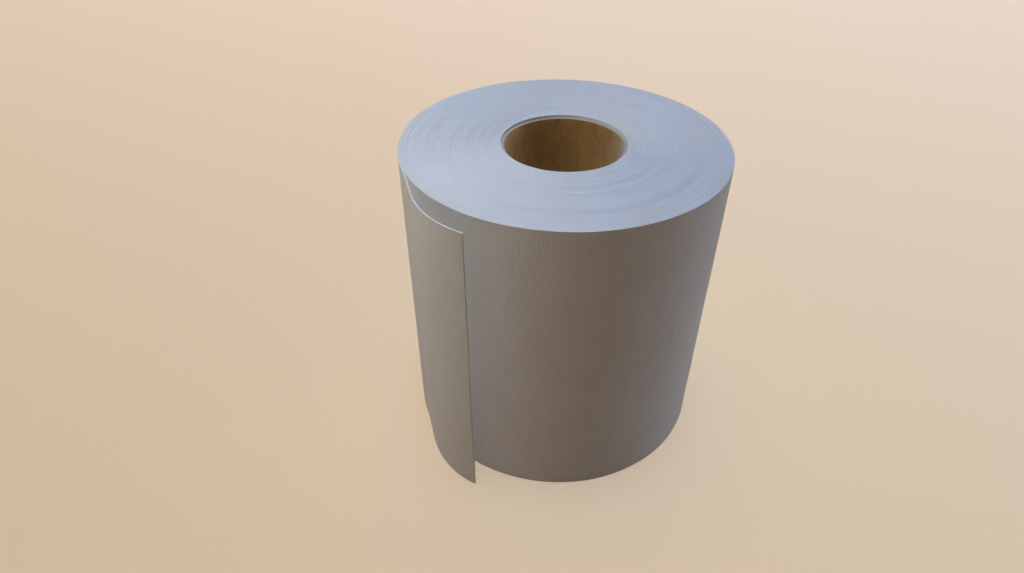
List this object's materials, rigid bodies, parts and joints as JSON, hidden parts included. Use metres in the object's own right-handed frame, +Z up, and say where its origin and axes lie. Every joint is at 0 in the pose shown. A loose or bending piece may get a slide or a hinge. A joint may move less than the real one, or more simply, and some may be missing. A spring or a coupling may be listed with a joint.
{
  "type": "toilet paper roll",
  "caption": "Soft tissue wound on a cardboard core, standing on one end, with the loose end of the sheet curling away from the side.",
  "frame": {"origin": "on the core's axis, in the plane of the lower end face that the roll stands on", "axes": "+Z up along the core's axis; -Y towards the side that the picture shows; the loose end lies at -X -Y"},
  "size_m": [0.1002, 0.1027, 0.1],
  "materials": {
    "tissue": "soft matt, white with a cool tint",
    "core_board": "matt brown greyboard"
  },
  "bodies": {
    "root": {"paper_roll": "tissue", "cardboard_core": "core_board"}
  },
  "joints": []
}
